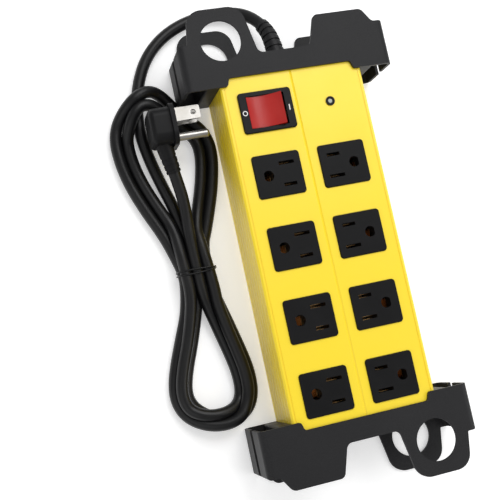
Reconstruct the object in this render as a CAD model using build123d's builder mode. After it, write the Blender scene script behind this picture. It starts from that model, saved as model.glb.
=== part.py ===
"""Eight-outlet workshop power strip with two pairs of hanging brackets and a tied-up mains cord.

The strip lies on its back. X runs across it, +Y towards the switch and the cord, +Z out of the
outlets. The origin is under the middle of the strip, on the surface it lies on. Millimetres.
"""

import os
from math import radians, tan

from build123d import *

os.makedirs("parts", exist_ok=True)

# ---------------------------------------------------------------- driving dimensions
# Body: a yellow aluminium channel, closed behind by a sliding base plate.
ROWS = 4
row_pitch = 42.0
column_pitch = 40.0
end_margin = 24.0  # last outlet's middle to the end of the body
control_zone = 66.0  # first outlet's middle to the end of the body, past the switch
side_margin = 23.3  # outlet's middle to the side of the body
body_depth = 37.0
wall = 1.8
edge_chamfer = 1.0
lip = 1.5  # ledge behind the base plate
lip_width = 3.0
base_thickness = 1.6
slide_clearance = 0.1

# Brackets: four bent steel plates, two in front and two behind.
sheet = 1.8
bend_radius = 4.0
flange_reach = 20.1  # bracket's flange beyond the side of the body
flange_depth = 17.5
skirt_overlap = 11.0  # plate over the body near the sides
strap_overlap = 6.2  # plate over the body between the steps
strap_overhang = 6.3  # strap beyond the end of the body
flange_overhang = 15.9
tab_overhang = 24.3
ring_overhang = 35.7
hang_hole_radius = 12.1
hang_hole_x = 37.3
hang_hole_overhang = 16.3

# End caps.
cap_wall = 4.0
cheek_width = 8.0
cap_plug_length = 8.0
cap_plug_wall = 2.0
fit = 0.2  # clearance of a moulding in the extrusion
post_radius = 2.3
post_clearance = 0.1
screw_radius = 1.25
screw_head_radius = 3.0
screw_head_height = 1.5
screw_depth = 9.0
base_screw_x = 33.0
base_screw_inset = 5.5

# Outlets, on the usual 125 V grounded pattern.
face_width = 28.4
face_height = 25.1
face_corner = 2.0
face_proud = 1.0
window_clearance = 0.15
shoulder = 1.5
outlet_bottom = 21.0
blade_spacing = 12.7
blade_to_ground = 11.86
blade_offset = 5.6  # blade slots' middle from the outlet's middle
slot_width = 2.0
neutral_slot = 9.2
line_slot = 7.8
ground_radius = 3.15
well_top = 33.6

# Brass strips and clips.
brass = 0.8
strip_width = 3.6
strip_level = 17.0
leaf = 0.5
blade_gap = 1.5
clip_length = 7.6
clip_base = 20.0
clip_top = 33.0
ground_gap = 4.7
ground_clip_length = 5.2
strip_lead = 18.0  # strips beyond the first outlet's middle, for the leads
link_width = 2.0
carrier_half_width = 14.7

# Switch.
switch_x = -18.7
control_inset = 28.1  # switch and indicator from the end of the body
bezel_width = 31.9
bezel_height = 24.2
bezel_corner = 2.0
bezel_thickness = 1.3
switch_wall = 1.65
switch_bottom = 20.0
rocker_width = 20.6
rocker_length = 18.5
rocker_gap = 0.3
rocker_rise = 6.0  # rocker's edges above its pivot, when level
rocker_drop = 7.0
plunger_reach = 9.3  # plunger's tip below the pivot
rocker_tilt = 10.0
rocker_dish_radius = 21.0
pivot_below_bezel = 4.1
trunnion_radius = 1.5
trunnion_length = 1.0
trunnion_clearance = 0.05
arm_tilt = 8.0
arm_below_pivot = 11.0

# Indicator and surge board.
lamp_x = 20.2
lamp_hole_radius = 2.3
lamp_rim_radius = 2.75
lens_radius = 1.6
board_thickness = 1.6
board_level = 18.0
board_width = 34.0
board_length = 33.0
board_edge = 4.0  # board's near edge from the middle of the strip

# Cord and gland.
cord_diameter = 7.2
gland_neck_radius = 7.0
gland_rim_radius = 8.6
boot_length = 16.0
boot_end_radius = 4.3
wire_radius = 1.3

# Plug, lying on the cord with its blades pointing across.
plug_face_x = -71.0
plug_blade_y = 88.5
plug_height = 22.0
plug_rim_width = 24.6
plug_rim_height = 27.0
plug_rim_thickness = 2.6
plug_body_depth = 15.0
blade_thickness = 1.5
line_blade_width = 6.3
neutral_blade_width = 7.9
blade_length = 15.6
ground_pin_radius = 2.4
ground_pin_length = 20.0

# ---------------------------------------------------------------- derived places
body_length = end_margin + (ROWS - 1) * row_pitch + control_zone
body_width = column_pitch + 2 * side_margin
body_end = body_length / 2
half_width = body_width / 2
body_bottom = sheet
body_top = body_bottom + body_depth
total_height = body_top + sheet
middle_height = total_height / 2
inner_half_width = half_width - wall
base_level = body_bottom + lip + slide_clearance
base_top = base_level + base_thickness
ceiling = body_top - wall
face_level = body_top + face_proud
row_places = [-body_end + end_margin + row_pitch * i for i in range(ROWS)]
columns = {"left": -1, "right": 1}
ends = {"top": 1, "bottom": -1}
control_y = body_end - control_inset
cap_end = body_end + cap_wall
cheek_outside = half_width + fit / 2 + cheek_width
post_x = half_width + fit / 2 + cheek_width / 2
post_places = [body_end - skirt_overlap + 4.0, cap_end - 4.0]
plug_ground_y = plug_blade_y - blade_to_ground


def save(part, name):
    """Label a finished piece and write its file."""
    part.label = name
    export_step(part, f"parts/{name}.step")


def block(x, y, z):
    """Add a box to the part in hand, from its lowest to its highest value on each axis."""
    middle = (sum(x) / 2, sum(y) / 2, sum(z) / 2)
    with Locations(middle):
        Box(x[1] - x[0], y[1] - y[0], z[1] - z[0])


def corner_radii(points, close=False):
    """The radius of each corner: as large as its two runs allow."""
    places = [Vector(*p) for p in points]
    count = len(places)
    corners = range(count) if close else range(1, count - 1)
    radii = []
    for i in corners:
        before = places[i] - places[i - 1]
        after = places[(i + 1) % count] - places[i]
        turn = radians(before.get_angle(after))
        radii.append(0.45 * min(before.length, after.length) / tan(turn / 2))
    return radii


def tube(points, radius, radii):
    """A round tube along straight runs joined by tangent arcs."""
    with BuildPart() as made:
        with BuildLine() as path:
            FilletPolyline(*points, radius=radii)
        with BuildSketch(Plane(origin=path.line @ 0, z_dir=path.line % 0)):
            Circle(radius)
        sweep(path=path.line)
    length = path.wires()[0].length
    share = made.part.volume / (length * 3.14159265 * radius**2)
    print("tube", round(length, 1), "mm, volume share", round(share, 4), "radii", [round(r) for r in radii])
    return made.part


# ---------------------------------------------------------------- body
rib_top = base_top + slide_clearance + 1.0

with BuildPart() as housing_cover:
    with BuildSketch(Plane.XZ) as channel:
        with Locations((0, body_bottom + body_depth / 2)):
            Rectangle(body_width, body_depth)
        chamfer(channel.vertices().group_by(Axis.Y)[-1], edge_chamfer)
        with Locations((0, (rib_top + ceiling) / 2)):
            Rectangle(2 * inner_half_width, ceiling - rib_top, mode=Mode.SUBTRACT)
        with Locations((0, (base_level + base_top) / 2)):
            Rectangle(2 * inner_half_width, base_thickness + 2 * slide_clearance, mode=Mode.SUBTRACT)
        with Locations((0, rib_top / 2)):
            Rectangle(2 * (inner_half_width - lip_width), rib_top, mode=Mode.SUBTRACT)
        with BuildLine():
            Polyline((-0.7, body_top), (0, body_top - 0.45), (0.7, body_top), close=True)
        make_face(mode=Mode.SUBTRACT)
        with Locations((half_width - 2.3, body_top), (-half_width + 2.3, body_top)):
            Rectangle(0.5, 0.6, mode=Mode.SUBTRACT)
        side_lines = [body_bottom + 4.5 + 5.6 * i for i in range(6)]
        with Locations(*[(side * half_width, z) for z in side_lines for side in (-1, 1)]):
            Rectangle(0.6, 0.8, mode=Mode.SUBTRACT)
    extrude(amount=body_end, both=True)
    with BuildSketch(Plane.XY.offset(ceiling - 0.5)):
        outlet_places = [(side * column_pitch / 2, y) for side in columns.values() for y in row_places]
        with Locations(*outlet_places):
            RectangleRounded(
                face_width + 2 * window_clearance, face_height + 2 * window_clearance, face_corner
            )
        with Locations((switch_x, control_y)):
            Rectangle(bezel_width - 3.2, bezel_height - 1.6)
        with Locations((lamp_x, control_y)):
            Circle(lamp_hole_radius)
    extrude(amount=wall + 1.0, mode=Mode.SUBTRACT)
save(housing_cover.part, "housing_cover")

base_screw_y = body_end - base_screw_inset
with BuildPart() as housing_base:
    with BuildSketch(Plane.XY.offset(base_level)):
        Rectangle(2 * (inner_half_width - slide_clearance), body_length)
        with GridLocations(2 * base_screw_x, 2 * base_screw_y, 2, 2):
            Circle(screw_radius + 0.25, mode=Mode.SUBTRACT)
    extrude(amount=base_thickness)
save(housing_base.part, "housing_base")


# ---------------------------------------------------------------- end caps
def end_cap(end):
    """A moulded cap: an end wall, two side cheeks, a hollow plug in the body, two screw bosses."""
    plug_half = inner_half_width - fit
    plug_low = rib_top + fit
    plug_high = ceiling - fit
    wall_reach = sorted((end * body_end, end * cap_end))
    plug_reach = sorted((end * (body_end - cap_plug_length), end * body_end))
    with BuildPart() as cap:
        block((-cheek_outside, cheek_outside), wall_reach, (body_bottom, body_top))
        for side in (-1, 1):
            block(
                sorted((side * (half_width + fit / 2), side * cheek_outside)),
                sorted((end * (body_end - skirt_overlap), end * cap_end)),
                (body_bottom, body_top),
            )
        rims = cap.edges().filter_by(Axis.Z).filter_by(
            lambda edge: abs(abs(edge.center().X) - cheek_outside) < 0.01
        )
        fillet(rims, 1.2)
        block((-plug_half, plug_half), plug_reach, (plug_low, plug_high))
        with Locations((0, sum(plug_reach) / 2, (plug_low + plug_high) / 2)):
            Box(
                2 * (plug_half - cap_plug_wall),
                cap_plug_length,
                plug_high - plug_low - 2 * cap_plug_wall,
                mode=Mode.SUBTRACT,
            )
        for side in (-1, 1):
            block(
                (side * base_screw_x - 4.0, side * base_screw_x + 4.0),
                sorted((end * (base_screw_y - 4.0), end * body_end)),
                (base_top, base_top + 8.0),
            )
        with BuildSketch(Plane.XY.offset(base_top)):
            with Locations((-base_screw_x, end * base_screw_y), (base_screw_x, end * base_screw_y)):
                Circle(screw_radius)
        extrude(amount=6.5, mode=Mode.SUBTRACT)
        with BuildSketch(Plane.XY.offset(body_bottom)):
            with Locations(*[(side * post_x, end * y) for side in (-1, 1) for y in post_places]):
                Circle(post_radius + post_clearance)
        extrude(amount=body_depth, mode=Mode.SUBTRACT)
        if end > 0:
            with BuildSketch(Plane.XZ.offset(-cap_end)):
                with Locations((0, middle_height)):
                    Circle(gland_neck_radius)
            extrude(amount=cap_wall, mode=Mode.SUBTRACT)
    return cap.part


for place, end in ends.items():
    save(end_cap(end), f"end_cap_{place}")


# ---------------------------------------------------------------- brackets
def bracket_outline(end):
    """The plate's outline over one end, as points and corner radii. The ring is on the left on top."""
    edge = half_width + flange_reach
    skirt = body_end - skirt_overlap
    step = body_end - strap_overlap
    strap = body_end + strap_overhang
    flange_end = body_end + flange_overhang
    tab = body_end + tab_overhang
    ring = body_end + ring_overhang
    ring_in = hang_hole_x - 20.8
    ring_out = hang_hole_x + 20.0
    corners = [
        (-edge, skirt, 0),
        (-half_width + 4.6, skirt, 1.8),
        (-half_width + 6.1, step, 1.8),
        (half_width - 6.1, step, 1.8),
        (half_width - 4.6, skirt, 1.8),
        (edge, skirt, 0),
        (edge, flange_end, 2.0),
        (ring_out, flange_end, 0.6),
        (ring_out - 3.2, ring, 9.5),
        (ring_in + 5.6, ring, 10.0),
        (ring_in, strap, 4.0),
        (-half_width + 28.2, strap, 4.0),
        (-half_width + 22.7, tab, 3.6),
        (-half_width - 7.6, tab, 4.0),
        (-half_width - 13.1, flange_end, 3.0),
        (-edge, flange_end, 2.0),
    ]
    points = [(-end * x, end * y) for x, y, _ in corners]
    return points, [radius for _, _, radius in corners]


def bracket(end, front):
    """One bent plate: a sheet across the strip with a flange at each side, cut to its outline."""
    edge = half_width + flange_reach
    inside = edge - sheet
    section = [
        (-edge, flange_depth, 0),
        (-edge, 0, bend_radius),
        (edge, 0, bend_radius),
        (edge, flange_depth, 0),
        (inside, flange_depth, 0),
        (inside, sheet, bend_radius - sheet),
        (-inside, sheet, bend_radius - sheet),
        (-inside, flange_depth, 0),
    ]
    places = [(x, total_height - z if front else z) for x, z, _ in section]
    sheet_low = body_top if front else 0.0
    points, radii = bracket_outline(end)
    with BuildPart() as plate:
        with BuildSketch(Plane.XZ):
            with BuildLine():
                FilletPolyline(*places, radius=[radius for _, _, radius in section], close=True)
            make_face()
        extrude(amount=body_end + ring_overhang + 5.0, both=True)
        with BuildSketch():
            with BuildLine():
                FilletPolyline(*points, radius=radii, close=True)
            make_face()
        extrude(amount=total_height, mode=Mode.INTERSECT)
        with BuildSketch(Plane.XY.offset(sheet_low)):
            with Locations((-end * hang_hole_x, end * (body_end + hang_hole_overhang))):
                Circle(hang_hole_radius)
        extrude(amount=sheet, mode=Mode.SUBTRACT)
        if not front:
            with Locations(*[(side * post_x, end * y, sheet / 2) for side in (-1, 1) for y in post_places]):
                Cone(screw_head_radius + 0.1, screw_radius + 0.1, sheet, mode=Mode.SUBTRACT)
    return plate.part


def bracket_posts(end):
    """Threaded posts pressed into the front plate, each through a cheek of the end cap."""
    places = [(side * post_x, end * y) for side in (-1, 1) for y in post_places]
    with BuildPart() as posts:
        with BuildSketch(Plane.XY.offset(body_bottom)):
            with Locations(*places):
                Circle(post_radius)
        extrude(amount=body_depth)
        with BuildSketch(Plane.XY.offset(body_bottom)):
            with Locations(*places):
                Circle(screw_radius)
        extrude(amount=screw_depth, mode=Mode.SUBTRACT)
    return posts.part


def flat_screws(end):
    """Countersunk screws through the rear plate into the posts, with a cross recess."""
    places = [(side * post_x, end * y) for side in (-1, 1) for y in post_places]
    with BuildPart() as made:
        with Locations(*[(x, y, sheet / 2 + 0.05) for x, y in places]):
            Cone(screw_head_radius, screw_radius, sheet - 0.1)
        with BuildSketch(Plane.XY.offset(sheet)):
            with Locations(*places):
                Circle(screw_radius)
        extrude(amount=screw_depth - 1.0)
        with BuildSketch(Plane.XY.offset(0.1)):
            with Locations(*places):
                Rectangle(3.2, 0.7)
                Rectangle(0.7, 3.2)
        extrude(amount=0.8, mode=Mode.SUBTRACT)
    return made.part


for place, end in ends.items():
    save(bracket(end, True), f"bracket_front_{place}")
    save(bracket(end, False), f"bracket_rear_{place}")
    save(bracket_posts(end), f"bracket_posts_{place}")
    save(flat_screws(end), f"bracket_screws_{place}")


def pan_screws(places, seat, length, up):
    """Pan-head screws seated on a level, driven up or down, with a cross recess."""
    head = seat - screw_head_height if up else seat
    shank = seat if up else seat - length
    slot = head if up else head + screw_head_height - 0.7
    with BuildPart() as made:
        with BuildSketch(Plane.XY.offset(head)):
            with Locations(*places):
                Circle(2.6)
        extrude(amount=screw_head_height)
        with BuildSketch(Plane.XY.offset(shank)):
            with Locations(*places):
                Circle(screw_radius)
        extrude(amount=length)
        with BuildSketch(Plane.XY.offset(slot)):
            with Locations(*places):
                Rectangle(2.8, 0.7)
                Rectangle(0.7, 2.8)
        extrude(amount=0.7, mode=Mode.SUBTRACT)
    return made.part


base_screw_places = [(sx * base_screw_x, sy * base_screw_y) for sx in (-1, 1) for sy in (-1, 1)]
base_screws = pan_screws(base_screw_places, base_level, 7.0, True)


# ---------------------------------------------------------------- outlets
def outlet(side, y):
    """One moulded outlet: a face through the window, a shoulder behind it, wells for the clips."""
    x = side * column_pitch / 2
    turn = -side  # the left column's ground hole is on its left
    blade_x = x + turn * blade_offset
    ground_x = x - turn * (blade_to_ground - blade_offset)
    neutral_y = y + turn * blade_spacing / 2
    line_y = y - turn * blade_spacing / 2
    with BuildPart() as module:
        with BuildSketch(Plane.XY.offset(outlet_bottom)):
            with Locations((x, y)):
                Rectangle(face_width + 0.6, face_height)
        extrude(amount=ceiling - 0.1 - outlet_bottom)
        with BuildSketch(Plane.XY.offset(ceiling - 7.0)):
            with Locations((x, y)):
                Rectangle(face_width + 2 * shoulder, face_height + 2 * shoulder)
        extrude(amount=6.9)
        with BuildSketch(Plane.XY.offset(ceiling - 1.0)):
            with Locations((x, y)):
                RectangleRounded(face_width, face_height, face_corner)
        extrude(amount=face_level - ceiling + 1.0)
        fillet(module.faces().sort_by(Axis.Z)[-1].edges(), 0.4)
        with BuildSketch(Plane.XY.offset(outlet_bottom)):
            with Locations((blade_x, neutral_y), (blade_x, line_y)):
                Rectangle(neutral_slot + 0.4, blade_gap + 2 * leaf + 1.0)
            with Locations((ground_x, y)):
                Rectangle(ground_gap + 2 * leaf + 0.8, ground_clip_length + 0.8)
        extrude(amount=well_top - outlet_bottom, mode=Mode.SUBTRACT)
        with BuildSketch(Plane.XY.offset(well_top)):
            with Locations((blade_x, neutral_y)):
                Rectangle(neutral_slot, slot_width)
            with Locations((blade_x, line_y)):
                Rectangle(line_slot, slot_width)
            with Locations((ground_x, y)):
                Circle(ground_radius)
            with Locations((ground_x - turn * 4.6, y)):
                Rectangle(4.0, 7.0, mode=Mode.SUBTRACT)
        extrude(amount=face_level - well_top, mode=Mode.SUBTRACT)
    return module.part


for column, side in columns.items():
    for number, y in enumerate(reversed(row_places)):
        save(outlet(side, y), f"outlet_{column}_{number + 1}")


# ---------------------------------------------------------------- brass strips and trays
strip_low_y = row_places[0] - 20.0
strip_high_y = row_places[-1] + strip_lead


def blade_bus(side, neutral):
    """A flat strip along one column with a two-leaf clip under each outlet's slot."""
    turn = -side
    x = side * column_pitch / 2
    blade_x = x + turn * blade_offset
    strip_x = x + turn * (blade_offset + (2.6 if neutral else -3.0))
    shift = turn * (1 if neutral else -1) * blade_spacing / 2
    reach = blade_gap / 2 + leaf
    with BuildPart() as bus:
        block(
            (strip_x - strip_width / 2, strip_x + strip_width / 2),
            (strip_low_y, strip_high_y),
            (strip_level, strip_level + brass),
        )
        for y in row_places:
            clip_y = y + shift
            block(
                (strip_x - strip_width / 2, strip_x + strip_width / 2),
                (clip_y - reach, clip_y + reach),
                (strip_level, clip_base + leaf),
            )
            block(
                (blade_x - clip_length / 2, blade_x + clip_length / 2),
                (clip_y - reach, clip_y + reach),
                (clip_base, clip_base + leaf),
            )
            for edge in (-1, 1):
                block(
                    (blade_x - clip_length / 2, blade_x + clip_length / 2),
                    sorted((clip_y + edge * blade_gap / 2, clip_y + edge * reach)),
                    (clip_base, clip_top),
                )
    return bus.part


ground_level = strip_level - 3.0


def ground_bus(side):
    """The earth strip along one column with a wide clip under each round hole."""
    turn = -side
    x = side * column_pitch / 2 - turn * (blade_to_ground - blade_offset)
    with BuildPart() as bus:
        block(
            (x - strip_width / 2, x + strip_width / 2),
            (strip_low_y + 4.5, strip_high_y),
            (ground_level, ground_level + brass),
        )
        for y in row_places:
            block(
                (x - ground_gap / 2 - leaf, x + ground_gap / 2 + leaf),
                (y - ground_clip_length / 2, y + ground_clip_length / 2),
                (ground_level, ground_level + brass),
            )
            for edge in (-1, 1):
                block(
                    sorted((x + edge * ground_gap / 2, x + edge * (ground_gap / 2 + leaf))),
                    (y - ground_clip_length / 2, y + ground_clip_length / 2),
                    (ground_level, clip_top - 1.0),
                )
    return bus.part


def carrier(side):
    """The tray under one column: a floor, two sides and cross ribs the strips lie on."""
    x = side * column_pitch / 2
    turn = -side
    ground_x = x - turn * (blade_to_ground - blade_offset)
    low = row_places[0] - 13.0
    high = row_places[-1] + 13.0
    with BuildPart() as tray:
        block((x - carrier_half_width, x + carrier_half_width), (low, high), (base_top, base_top + 1.2))
        for edge in (-1, 1):
            block(
                sorted((x + edge * carrier_half_width, x + edge * (carrier_half_width - 1.4))),
                (low, high),
                (base_top, outlet_bottom),
            )
        ribs = [low + 1.0, high - 1.0] + [y + row_pitch / 2 for y in row_places[:-1]]
        for y in ribs:
            block(
                (x - carrier_half_width, x + carrier_half_width),
                (y - 1.0, y + 1.0),
                (base_top, strip_level),
            )
        with Locations((ground_x, (low + high) / 2, ground_level + 2.0)):
            Box(strip_width + 0.4, high - low, 4.0, mode=Mode.SUBTRACT)
    return tray.part


for column, side in columns.items():
    save(blade_bus(side, True), f"bus_neutral_{column}")
    save(blade_bus(side, False), f"bus_line_{column}")
    save(ground_bus(side), f"bus_ground_{column}")
    save(carrier(side), f"contact_carrier_{column}")


def jumper(reach, plate_low, leg_top, low, high):
    """A brass bridge from one column's strip to the other's, at the lower end."""
    with BuildPart() as bridge:
        block((-reach - link_width, reach + link_width), (low, high), (plate_low, plate_low + brass))
        for side in (-1, 1):
            block(
                sorted((side * (reach - link_width), side * (reach + link_width))),
                (low, high),
                (plate_low, leg_top),
            )
    return bridge.part


half_column = column_pitch / 2
neutral_strip_x = half_column - blade_offset - 2.6
line_strip_x = half_column - blade_offset + 3.0
ground_strip_x = half_column + blade_to_ground - blade_offset
jumpers = [
    jumper(neutral_strip_x, strip_level - brass, strip_level, -104.0, -101.0),
    jumper(line_strip_x - 0.5, 12.0, strip_level, -99.6, -97.6),
    jumper(ground_strip_x, 9.4, ground_level, -99.4, -97.6),
]
save(Compound(children=[solid for bridge in jumpers for solid in bridge.solids()]), "bus_jumpers")

# ---------------------------------------------------------------- switch
pivot_z = body_top + bezel_thickness - pivot_below_bezel
arm_z = pivot_z - arm_below_pivot
switch_body_width = bezel_width - 3.5
switch_body_height = bezel_height - 1.8
window_width = rocker_width + 2.2
window_height = rocker_length + 2 * rocker_gap

with BuildPart() as switch_housing:
    with BuildSketch(Plane.XY.offset(body_top)):
        with Locations((switch_x, control_y)):
            RectangleRounded(bezel_width, bezel_height, bezel_corner)
    extrude(amount=bezel_thickness)
    fillet(switch_housing.faces().sort_by(Axis.Z)[-1].edges(), 0.6)
    with BuildSketch(Plane.XY.offset(switch_bottom)):
        with Locations((switch_x, control_y)):
            Rectangle(switch_body_width, switch_body_height)
    extrude(amount=body_top - switch_bottom)
    with BuildSketch(Plane.XY.offset(switch_bottom + 1.5)):
        with Locations((switch_x, control_y)):
            Rectangle(switch_body_width - 2 * switch_wall, window_height)
    extrude(amount=body_top - 2.0 - switch_bottom - 1.5, mode=Mode.SUBTRACT)
    with BuildSketch(Plane.XY.offset(body_top - 3.0)):
        with Locations((switch_x, control_y)):
            Rectangle(window_width, window_height)
    extrude(amount=bezel_thickness + 3.0, mode=Mode.SUBTRACT)
    with Locations((switch_x, control_y, pivot_z)):
        Cylinder(
            trunnion_radius + trunnion_clearance,
            window_height + 2.4,
            rotation=(90, 0, 0),
            mode=Mode.SUBTRACT,
        )
    with BuildSketch(Plane.XY.offset(switch_bottom)):
        with Locations(*[(switch_x + x, control_y) for x in (-8.5, 0, 8.5)]):
            Rectangle(0.8, 4.8)
    extrude(amount=1.5, mode=Mode.SUBTRACT)
save(switch_housing.part, "switch_housing")

rocker_frame = Location((switch_x, control_y, pivot_z), (0, -rocker_tilt, 0))
half_rocker = rocker_width / 2

with BuildPart() as rocker_shape:
    with BuildSketch(Plane.XZ):
        with BuildLine():
            dish = rocker_rise - rocker_dish_radius + (rocker_dish_radius**2 - half_rocker**2) ** 0.5
            ThreePointArc((half_rocker, rocker_rise), (0, dish), (-half_rocker, rocker_rise))
            Polyline(
                (-half_rocker, rocker_rise),
                (-half_rocker, 1.0),
                (-3.5, -rocker_drop),
                (3.5, -rocker_drop),
                (half_rocker, 1.0),
                (half_rocker, rocker_rise),
            )
        make_face()
    extrude(amount=rocker_length / 2, both=True)
    Cylinder(trunnion_radius, rocker_length + 2 * (rocker_gap + trunnion_length), rotation=(90, 0, 0))
    with Locations((0, 0, -rocker_drop + 1.0)):
        Cylinder(1.1, 2.0, mode=Mode.SUBTRACT)
save(rocker_frame * rocker_shape.part, "switch_rocker")

with BuildPart() as plunger_shape:
    with Locations((0, 0, (-rocker_drop - plunger_reach + 1.0) / 2 + 1.0)):
        Cylinder(1.1, plunger_reach - rocker_drop - 1.0 + 2.0)
    with Locations((0, 0, -plunger_reach + 1.0)):
        Sphere(1.0)
save(rocker_frame * plunger_shape.part, "switch_plunger")

with BuildPart() as arm_shape:
    with Locations((0, 0, 0.9)):
        Box(18.0, 4.6, 0.8)
    with Locations((-8.0, 0, 0.2)):
        Cylinder(1.5, 0.6)
    Cylinder(0.6, 4.6, rotation=(90, 0, 0))
save(Location((switch_x, control_y, arm_z), (0, arm_tilt, 0)) * arm_shape.part, "switch_contact_arm")

with BuildPart() as switch_terminals:
    for x, top in ((-8.5, arm_z - 1.9), (0, arm_z - 0.65), (8.5, arm_z - 2.6)):
        block(
            (switch_x + x - 0.4, switch_x + x + 0.4),
            (control_y - 2.4, control_y + 2.4),
            (switch_bottom - 7.0, top),
        )
save(switch_terminals.part, "switch_terminals")

with BuildPart() as switch_lamp:
    with Locations((switch_x, control_y + 6.4, switch_bottom + 3.0)):
        Cylinder(1.5, 9.0, rotation=(0, 90, 0))
save(switch_lamp.part, "switch_lamp")

# ---------------------------------------------------------------- indicator and surge board
with BuildPart() as led_bezel:
    with BuildSketch(Plane.XY.offset(body_top - 5.0)):
        with Locations((lamp_x, control_y)):
            Circle(lamp_hole_radius - 0.1)
    extrude(amount=5.0)
    with BuildSketch(Plane.XY.offset(body_top)):
        with Locations((lamp_x, control_y)):
            Circle(lamp_rim_radius)
    extrude(amount=0.7)
    with BuildSketch(Plane.XY.offset(body_top - 5.0)):
        with Locations((lamp_x, control_y)):
            Circle(lens_radius)
    extrude(amount=6.0, mode=Mode.SUBTRACT)
save(led_bezel.part, "led_bezel")

with BuildPart() as led_lens:
    with BuildSketch(Plane.XY.offset(body_top - 6.0)):
        with Locations((lamp_x, control_y)):
            Circle(lens_radius)
    extrude(amount=6.4)
    fillet(led_lens.faces().sort_by(Axis.Z)[-1].edges(), 0.6)
save(led_lens.part, "led_lens")

board_x = board_edge + board_width / 2
board_y = body_end - 13.0 - board_length / 2
board_holes = [
    (board_x + sx * (board_width / 2 - 3.5), board_y + sy * (board_length / 2 - 3.5))
    for sx in (-1, 1)
    for sy in (-1, 1)
]
board_top = board_level + board_thickness

with BuildPart() as surge_board:
    with BuildSketch(Plane.XY.offset(board_level)):
        with Locations((board_x, board_y)):
            Rectangle(board_width, board_length)
        with Locations(*board_holes):
            Circle(screw_radius + 0.15, mode=Mode.SUBTRACT)
    extrude(amount=board_thickness)
save(surge_board.part, "surge_board")

with BuildPart() as board_standoffs:
    with BuildSketch(Plane.XY.offset(base_top)):
        with Locations(*board_holes):
            Circle(2.6)
    extrude(amount=board_level - base_top)
    with BuildSketch(Plane.XY.offset(board_level - 7.0)):
        with Locations(*board_holes):
            Circle(screw_radius)
    extrude(amount=7.0, mode=Mode.SUBTRACT)
save(board_standoffs.part, "board_standoffs")
board_screws = pan_screws(board_holes, board_top, 7.0, False)
save(Compound(children=[*base_screws.solids(), *board_screws.solids()]), "pan_screws")

with BuildPart() as varistors:
    with Locations(*[(board_x - 8.0, board_y - 6.0 + 6.0 * i, board_top + 6.5) for i in range(3)]):
        Cylinder(5.0, 3.0, rotation=(90, 0, 0))
    with Locations(*[(board_x - 8.0, board_y - 6.0 + 6.0 * i, board_top + 1.25) for i in range(3)]):
        Box(4.0, 0.8, 2.5)
save(varistors.part, "varistors")

with BuildPart() as suppression_capacitor:
    with Locations((board_x + 5.0, board_y + 6.0, board_top + 5.0)):
        Box(13.0, 6.0, 10.0)
    fillet(suppression_capacitor.faces().sort_by(Axis.Z)[-1].edges(), 0.6)
save(suppression_capacitor.part, "suppression_capacitor")

with BuildPart() as thermal_fuse:
    with Locations((board_x + 6.0, board_y - 7.0, board_top + 1.8)):
        Cylinder(1.8, 11.0, rotation=(0, 90, 0))
save(thermal_fuse.part, "thermal_fuse")


# ---------------------------------------------------------------- wires
def wire(name, points, bend=3.0):
    """A round insulated wire along straight runs with small bends."""
    places = [Vector(*p) for p in points]
    shortest = min((b - a).length for a, b in zip(places, places[1:]))
    with BuildPart() as made:
        with BuildLine() as path:
            FilletPolyline(*points, radius=min(bend, 0.4 * shortest))
        with BuildSketch(Plane(origin=path.line @ 0, z_dir=path.line % 0)):
            Circle(wire_radius)
        sweep(path=path.line)
    save(made.part, name)


cord_start = cap_end - 2.5
wire(
    "lead_line",
    [
        (-1.7, cord_start, middle_height + 1.2),
        (-1.7, 103.0, middle_height + 1.2),
        (-3.5, 97.0, middle_height),
        (-9.0, 90.0, 9.0),
        (-20.0, 84.0, 7.5),
        (switch_x - 8.5, control_y, 7.5),
        (switch_x - 8.5, control_y, switch_bottom - 7.0),
    ],
)
wire(
    "lead_switched",
    [
        (switch_x + 8.5, control_y, switch_bottom - 7.0),
        (switch_x + 8.5, control_y, 7.5),
        (-line_strip_x, 66.0, 12.0),
        (-line_strip_x, strip_high_y - 1.5, 12.5),
        (-line_strip_x, strip_high_y - 1.5, strip_level),
    ],
)
wire(
    "lead_neutral",
    [
        (1.7, cord_start, middle_height + 1.2),
        (1.7, 103.0, middle_height + 1.2),
        (9.0, 96.0, 27.0),
        (board_edge + 8.0, 92.0, 27.0),
        (board_edge + 8.0, 92.0, board_top),
    ],
)
wire(
    "lead_board",
    [
        (board_edge + 2.2, board_y - 4.0, board_top),
        (board_edge + 2.2, board_y - 4.0, 26.0),
        (-2.0, 66.0, 26.0),
        (-neutral_strip_x, strip_high_y - 1.5, 25.0),
        (-neutral_strip_x, strip_high_y - 1.5, strip_level + brass),
    ],
)
earth_x = -3.5
earth_y = 88.0
with BuildPart() as ground_screw:
    with BuildSketch(Plane.XY.offset(base_top)):
        with Locations((earth_x, earth_y)):
            Circle(3.4)
    extrude(amount=brass)
    with BuildSketch(Plane.XY.offset(base_top + brass)):
        with Locations((earth_x, earth_y)):
            Circle(2.4)
            Rectangle(3.4, 0.7, mode=Mode.SUBTRACT)
    extrude(amount=2.0)
save(ground_screw.part, "ground_screw")
wire(
    "lead_ground",
    [
        (0, cord_start, middle_height - 1.7),
        (0, 103.0, middle_height - 1.7),
        (earth_x + 0.5, 96.5, base_top + 2.2),
        (earth_x, earth_y + 2.4, base_top + 2.2),
    ],
    2.0,
)
wire(
    "lead_bond",
    [
        (earth_x, earth_y - 2.4, base_top + 2.2),
        (-5.0, 66.0, base_top + 2.2),
        (-ground_strip_x, 62.0, base_top + 2.2),
        (-ground_strip_x, strip_high_y - 1.5, 9.0),
        (-ground_strip_x, strip_high_y - 1.5, ground_level),
    ],
    1.2,
)

# ---------------------------------------------------------------- cord
cord_radius = cord_diameter / 2
floor = cord_radius + 0.05

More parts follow.
